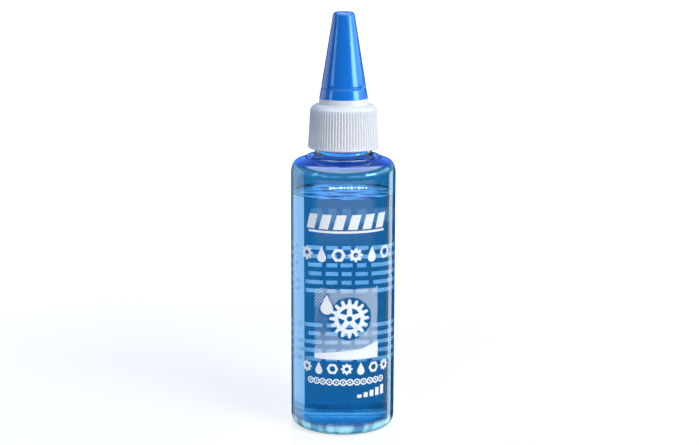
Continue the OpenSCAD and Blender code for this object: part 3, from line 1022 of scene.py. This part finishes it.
def sheer_ink(name, cover=1.0):
    """Thin white ink that glows when light falls on its far side. A low cover lets more through."""
    material, nodes, links, bsdf = new_material(name, {"Roughness": 0.5})
    colour = colour_noise(nodes, links, 700, (0.85, 0.9, 0.95), (0.93, 0.96, 0.98))
    links.new(colour, bsdf.inputs["Base Color"])
    through = nodes.new("ShaderNodeBsdfTranslucent")
    links.new(colour, through.inputs["Color"])
    film = mixed(nodes, links, 0.75, bsdf, through)
    thin = mixed(nodes, links, cover, nodes.new("ShaderNodeBsdfTransparent"), film)
    links.new(thin.outputs[0], nodes["Material Output"].inputs["Surface"])
    return material


CLEAR, OIL = clear_plastic(), blue_oil()
WHITE, BLUE, FOAM = white_plastic(), blue_plastic(), foam()
# The froth's white dots are painted highlights: they glow by emission.
FROTH_PAINTED_GLOW = ink("oil_froth_painted_glow", (0.75, 0.86, 0.95), (0.85, 0.93, 0.98), 0.2, 2.2)
WHITE_INK = ink("white_ink", (0.78, 0.83, 0.87), (0.84, 0.88, 0.91))
TINT_INK = ink("tint_ink", (0.66, 0.77, 0.87), (0.72, 0.82, 0.9))
BACK_INK, FAINT_INK = sheer_ink("back_ink"), sheer_ink("faint_ink", 0.1)


def dress(piece, body, node, material):
    piece.data.materials.clear()
    piece.data.materials.append(material)
    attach(piece, body)
    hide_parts(node)


dress(revolve("bottle_shell", bottle_section, steps=360), "bottle", "bottle",
      CLEAR)
dress(revolve("oil_fill", oil_section, steps=240), "bottle", "chain_lube", OIL)
dress(revolve("ribbed_cap", cap_section, steps=rib_count * rib_steps, loop=True), "cap",
      "spout_cap", WHITE)
dress(revolve("cone_cap", lambda angle: tip_line, steps=192), "tip", "tip_cap",
      BLUE)
front_shapes = (title_shapes() + row_shapes(upper_signs, upper_sign_d, upper_row_z)
                + panel_shapes() + row_shapes(lower_signs, lower_sign_d, lower_row_z)
                + chain_shapes() + gauge_shapes())
dress(ink_piece("front_ink", front_shapes), "bottle", "front_print", WHITE_INK)
dress(screen_piece("panel_screen"), "bottle", "panel_tint", TINT_INK)
dress(ink_piece("back_ink", back_shapes()), "bottle", "back_print", BACK_INK)
dress(ink_piece("back_title_ink", back_title_shapes()), "bottle", "back_print",
      FAINT_INK)
dress(froth("froth"), "bottle", "chain_lube", FROTH_PAINTED_GLOW)

liner = frame["nodes"]["cap_liner"]
liner.data.materials.clear()
liner.data.materials.append(FOAM)


# Camera, at the photograph's angle

camera_azimuth = -4.5
camera_distance, camera_height = 520, 171.4
camera_pitch, camera_yaw, camera_roll = 11.5, 0.171, -0.25
focal_px, image_w, sensor_w = 1676, 699, 36

camera_data = bpy.data.cameras.new("camera")
camera_data.sensor_width = sensor_w
camera_data.lens = sensor_w * focal_px / image_w
camera_data.clip_start, camera_data.clip_end = 0.01, 50
camera = bpy.data.objects.new("camera", camera_data)
bpy.context.scene.collection.objects.link(camera)
turn = math.radians(camera_azimuth)
camera.location = Vector((math.sin(turn) * camera_distance, -math.cos(turn) * camera_distance,
                          camera_height)) * MM
camera.rotation_mode = "XYZ"
camera.rotation_euler = (math.radians(90 - camera_pitch), math.radians(camera_roll),
                         turn - math.radians(camera_yaw))
bpy.context.scene.camera = camera


# Stage and light. Azimuths run from straight behind the object towards +X, in degrees.

def plain_mesh(name, corners, faces=None):
    mesh = bpy.data.meshes.new(name)
    mesh.from_pydata(corners, [], faces or [tuple(range(len(corners)))])
    piece = bpy.data.objects.new(name, mesh)
    bpy.context.scene.collection.objects.link(piece)
    return piece


def floor():
    """A pale floor that takes the object's shadow near it and fades to plain white further away."""
    size, near, far, near_glow = 6.0, 0.08, 0.5, 0.68
    corners = [(-size, -size, 0), (size, -size, 0), (size, size, 0), (-size, size, 0)]
    piece = plain_mesh("floor", corners)
    material, nodes, links, bsdf = new_material("floor", {
        "Base Color": (0.4, 0.39, 0.37, 1), "Roughness": 0.9, "Specular IOR Level": 0.0,
        "Emission Color": (1, 1, 1, 1)})
    path = nodes.new("ShaderNodeLightPath")
    place = nodes.new("ShaderNodeNewGeometry")
    reach = nodes.new("ShaderNodeVectorMath")
    reach.operation = "LENGTH"
    links.new(place.outputs["Position"], reach.inputs[0])
    lift = spread(nodes, links, reach.outputs["Value"], near, far, near_glow, 1.0)
    glow = joined(nodes, links, "MULTIPLY", lift, path.outputs["Is Camera Ray"])
    links.new(glow, bsdf.inputs["Emission Strength"])
    piece.data.materials.append(material)
    piece.visible_transmission = False
    piece.visible_glossy = False


def emitter(name, corners, strength, seen_by, faces=None, colour=(1, 1, 1)):
    """A glowing panel that only the rays in seen_by meet: lens, mirror or light on surfaces."""
    piece = plain_mesh(name, corners, faces)
    material = bpy.data.materials.new(name)
    material.use_nodes = True
    nodes, links = material.node_tree.nodes, material.node_tree.links
    nodes.clear()
    glow = nodes.new("ShaderNodeEmission")
    set_inputs(glow, {"Color": (*colour, 1), "Strength": strength})
    out = nodes.new("ShaderNodeOutputMaterial")
    links.new(glow.outputs[0], out.inputs["Surface"])
    piece.data.materials.append(material)
    piece.visible_camera = False
    piece.visible_shadow = False
    piece.visible_glossy = "mirror" in seen_by
    piece.visible_transmission = "lens" in seen_by
    piece.visible_diffuse = "light" in seen_by
    return piece


def upright_panel(name, az0, az1, z0, z1, strength, seen_by, colour, distance=1.3):
    """A glowing panel that stands between two azimuths and two heights, in metres."""
    corners = []
    for az, z in ((az0, z0), (az1, z0), (az1, z1), (az0, z1)):
        a = math.radians(az)
        corners.append((distance * math.sin(a), distance * math.cos(a), z))
    return emitter(name, corners, strength, seen_by, colour=colour)


def ring_panel(name, r0, r1, z, strength, seen_by, colour=(1, 1, 1), steps=48):
    """A glowing flat ring round the foot, from radius r0 to r1 at height z, in millimetres."""
    ring = [circle(0, 0, r, steps) for r in (r0, r1)]
    verts = [(x * MM, y * MM, z * MM) for line in ring for x, y in line]
    faces = [(i, steps + i, steps + (i + 1) % steps, (i + 1) % steps) for i in range(steps)]
    return emitter(name, verts, strength, seen_by, faces, colour)


def light_upwards_only(piece):
    """Makes a glowing panel clear from its back."""
    nodes, links = piece.data.materials[0].node_tree.nodes, piece.data.materials[0].node_tree.links
    side = nodes.new("ShaderNodeNewGeometry")
    mix = mixed(nodes, links, side.outputs["Backfacing"], nodes["Emission"],
                nodes.new("ShaderNodeBsdfTransparent"))
    links.new(mix.outputs[0], nodes["Material Output"].inputs["Surface"])


def label_spot(name, azimuth, elevation, power):
    """A narrow spot on the printed part of the wall, which leaves the cap out."""
    distance, aim_z = 0.8, 0.042
    lamp = bpy.data.lights.new(name, "SPOT")
    lamp.energy = power
    lamp.spot_size = math.radians(6.4)
    lamp.spot_blend = 0.5
    lamp.shadow_soft_size = 0.02
    place_lamp(name, lamp, azimuth, elevation, distance, aim_z)


def area_lamp(name, azimuth, elevation, power):
    """A soft lamp that faces the object."""
    distance, aim_z = 1.2, 0.07
    lamp = bpy.data.lights.new(name, "AREA")
    lamp.size = 0.6
    lamp.energy = power
    lamp.color = (1.0, 0.95, 0.86)
    place_lamp(name, lamp, azimuth, elevation, distance, aim_z)


def place_lamp(name, lamp, azimuth, elevation, distance, aim_z):
    piece = bpy.data.objects.new(name, lamp)
    bpy.context.scene.collection.objects.link(piece)
    a, e = math.radians(azimuth), math.radians(elevation)
    away = Vector((math.sin(a) * math.cos(e), math.cos(a) * math.cos(e), math.sin(e)))
    piece.location = away * distance + Vector((0, 0, aim_z))
    piece.rotation_euler = away.to_track_quat("Z", "Y").to_euler()
    piece.visible_glossy = False
    piece.visible_transmission = False


def world():
    """White for the camera, and a dimmer studio for lens, mirror and surface light."""
    made = bpy.data.worlds.new("studio")
    bpy.context.scene.world = made
    made.use_nodes = True
    nodes, links = made.node_tree.nodes, made.node_tree.links
    back = nodes["Background"]
    path = nodes.new("ShaderNodeLightPath")
    place = nodes.new("ShaderNodeTexCoord")

    def ramp(heading, v0, v1, low_level, high_level):
        """A level that rises smoothly along a heading of the sky."""
        lean = nodes.new("ShaderNodeVectorMath")
        lean.operation = "DOT_PRODUCT"
        lean.inputs[1].default_value = heading
        links.new(place.outputs["Generated"], lean.inputs[0])
        return spread(nodes, links, lean.outputs["Value"], v0, v1, low_level, high_level)

    def both(operation, a, b):
        return joined(nodes, links, operation, a, b)

    def tinted(colour, level):
        scaled = nodes.new("ShaderNodeVectorMath")
        scaled.operation = "SCALE"
        scaled.inputs[0].default_value = colour
        links.new(level, scaled.inputs["Scale"])
        return scaled.outputs[0]

    def choose(ray, other, light):
        """light for that kind of ray, and other for the rest."""
        mix = nodes.new("ShaderNodeMix")
        mix.data_type = "RGBA"
        links.new(path.outputs[ray], mix.inputs["Factor"])
        links.new(other, mix.inputs["A"])
        links.new(light, mix.inputs["B"])
        return mix.outputs["Result"]

    white = nodes.new("ShaderNodeRGB")
    white.outputs[0].default_value = (1, 1, 1, 1)
    up, front, behind = (0, 0, 1), (0, -1, 0), (0, 1, 0)
    surface = tinted((0.6, 0.73, 1.0), ramp((0.6, 0.8, 0), -0.9, 0.9, 0.45, 1.1))
    haze = both("MULTIPLY", ramp(up, -0.225, -0.18, 0.0, 1.3), ramp(up, -0.16, -0.1, 1.0, 0.0))
    haze = both("MULTIPLY", haze, ramp(front, 0.2, 0.6, 0.0, 1.0))
    arch = both("MULTIPLY", ramp(up, 0.5, 0.66, 0.0, 6.0), ramp(front, -0.55, -0.2, 0.0, 1.0))
    mirror = both("ADD", haze, both("ADD", arch, ramp(up, 0.0, 0.3, 0.0, 0.2)))
    glare = tinted((0.85, 0.97, 1.0), mirror)
    rim = tinted((0.12, 0.36, 1.0), ramp(behind, 0.8, 0.98, 0.03, 0.42))
    sheen = nodes.new("ShaderNodeVectorMath")
    links.new(glare, sheen.inputs[0])
    links.new(rim, sheen.inputs[1])
    lens = both("ADD", ramp(up, -0.14, 0.12, 0.0, 1.45), ramp(up, 0.2, 0.5, 0.0, -1.2))
    seen_through = nodes.new("ShaderNodeVectorMath")
    seen_through.operation = "MULTIPLY_ADD"
    seen_through.inputs[1].default_value = (0.4, 0.74, 1.0)
    seen_through.inputs[2].default_value = (0.03, 0.21, 0.4)
    links.new(lens, seen_through.inputs[0])
    light = choose("Is Glossy Ray", surface, sheen.outputs[0])
    light = choose("Is Transmission Ray", light, seen_through.outputs[0])
    light = choose("Is Camera Ray", light, white.outputs[0])
    links.new(light, back.inputs["Color"])


# Colours of the panels. Like a lens, the bottle shows the right band at its left.
BAND_RIGHT, BAND_LEFT, MIRROR_LEFT = (0.6, 0.82, 1.0), (0.66, 0.8, 1.0), (0.9, 0.97, 1.0)
MIRROR_RIGHT, TIP_SHEEN, FOOT_BLUE = (0.8, 0.93, 1.0), (0.45, 0.88, 1.0), (0.35, 0.48, 1.0)

floor()
world()
upright_panel("lens_right", 39, 68, -0.8, 1.2, 1.05, "lens", BAND_RIGHT)
upright_panel("lens_left", -54, -43, -0.8, 1.2, 0.2, "lens", BAND_LEFT)
upright_panel("lens_left_soft", -54, -37, -0.8, 1.2, 0.18, "lens", BAND_LEFT, 1.28)
upright_panel("mirror_left", -80, -38, -0.8, 0.35, 1.3, "mirror", MIRROR_LEFT)
upright_panel("mirror_left_soft", -38, -26, -0.8, 0.1, 0.6, "mirror", MIRROR_LEFT)
upright_panel("mirror_right", 47, 64, -0.8, 0.1, 3.0, "mirror", MIRROR_RIGHT)
upright_panel("tip_strip_right", 108, 134, 0.125, 0.19, 15.0, "mirror", TIP_SHEEN, 0.3)
upright_panel("tip_strip_left", -118, -106, 0.125, 0.19, 5.0, "mirror", TIP_SHEEN, 0.3)
upright_panel("tip_side", 60, 108, 0.125, 0.19, 3.2, "mirror", TIP_SHEEN, 0.3)
ring_panel("foot_glow", 7.0, 17.5, -0.4, 2.6, "lens", FOOT_BLUE)
light_upwards_only(ring_panel("table_bounce", 17.0, 42.0, 0.3, 1.3, "light"))
area_lamp("key", 140, 30, 9.4)
label_spot("front_spot", 206, 14, 8.5)
label_spot("back_spot", 4, 22, 30)

# Light passes many walls, films of ink and the oil on its way through the bottle
bpy.context.scene.cycles.max_bounces = 24
bpy.context.scene.cycles.transmission_bounces = 24
bpy.context.scene.view_settings.view_transform = "Standard"
